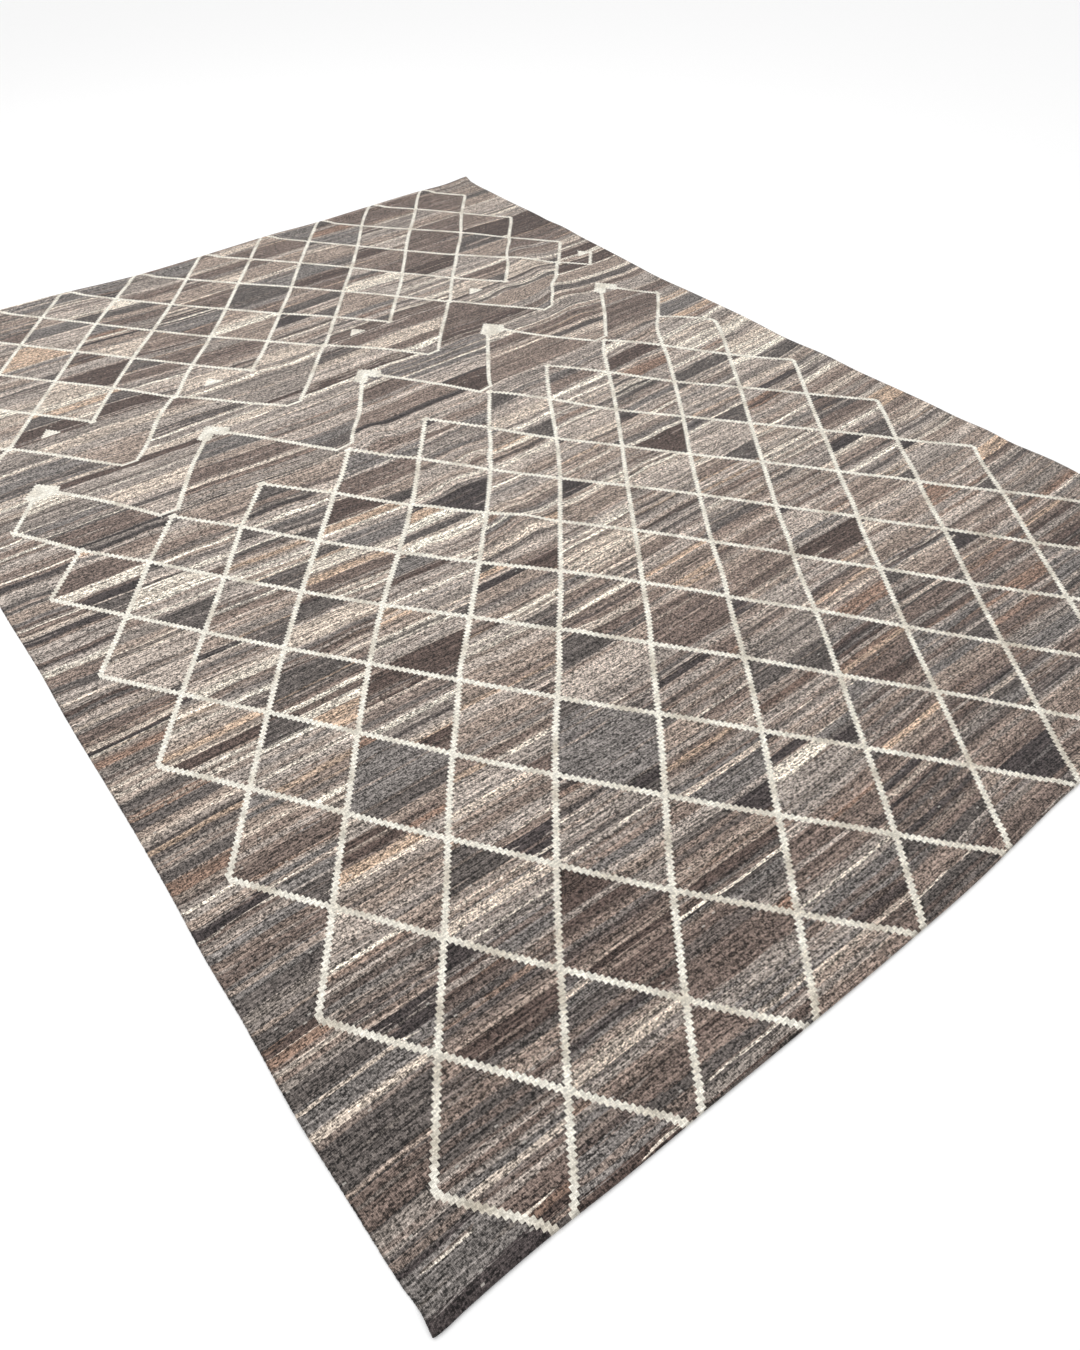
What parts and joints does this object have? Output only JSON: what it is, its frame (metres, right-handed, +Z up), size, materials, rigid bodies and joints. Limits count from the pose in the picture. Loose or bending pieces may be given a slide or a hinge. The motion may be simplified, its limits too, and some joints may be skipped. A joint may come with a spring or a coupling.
{
  "type": "kilim rug",
  "caption": "Large flat-woven wool rug with a cream stepped diamond trellis on banded grey and brown wefts, plain selvedges and turned-under ends.",
  "frame": {"origin": "middle of the rug's footprint, on the surface that it lies on", "axes": "+X across the rug along the weft, +Y along the rug's length and its warp, +Z up out of the face"},
  "size_m": [2.4318, 3.5092, 0.0115],
  "materials": {
    "wool_weave": "matt hand-spun wool, weft-faced plain weave, heathered greys and browns with cream lines"
  },
  "bodies": {
    "root": {"kilim_cloth": "wool_weave"}
  },
  "joints": []
}
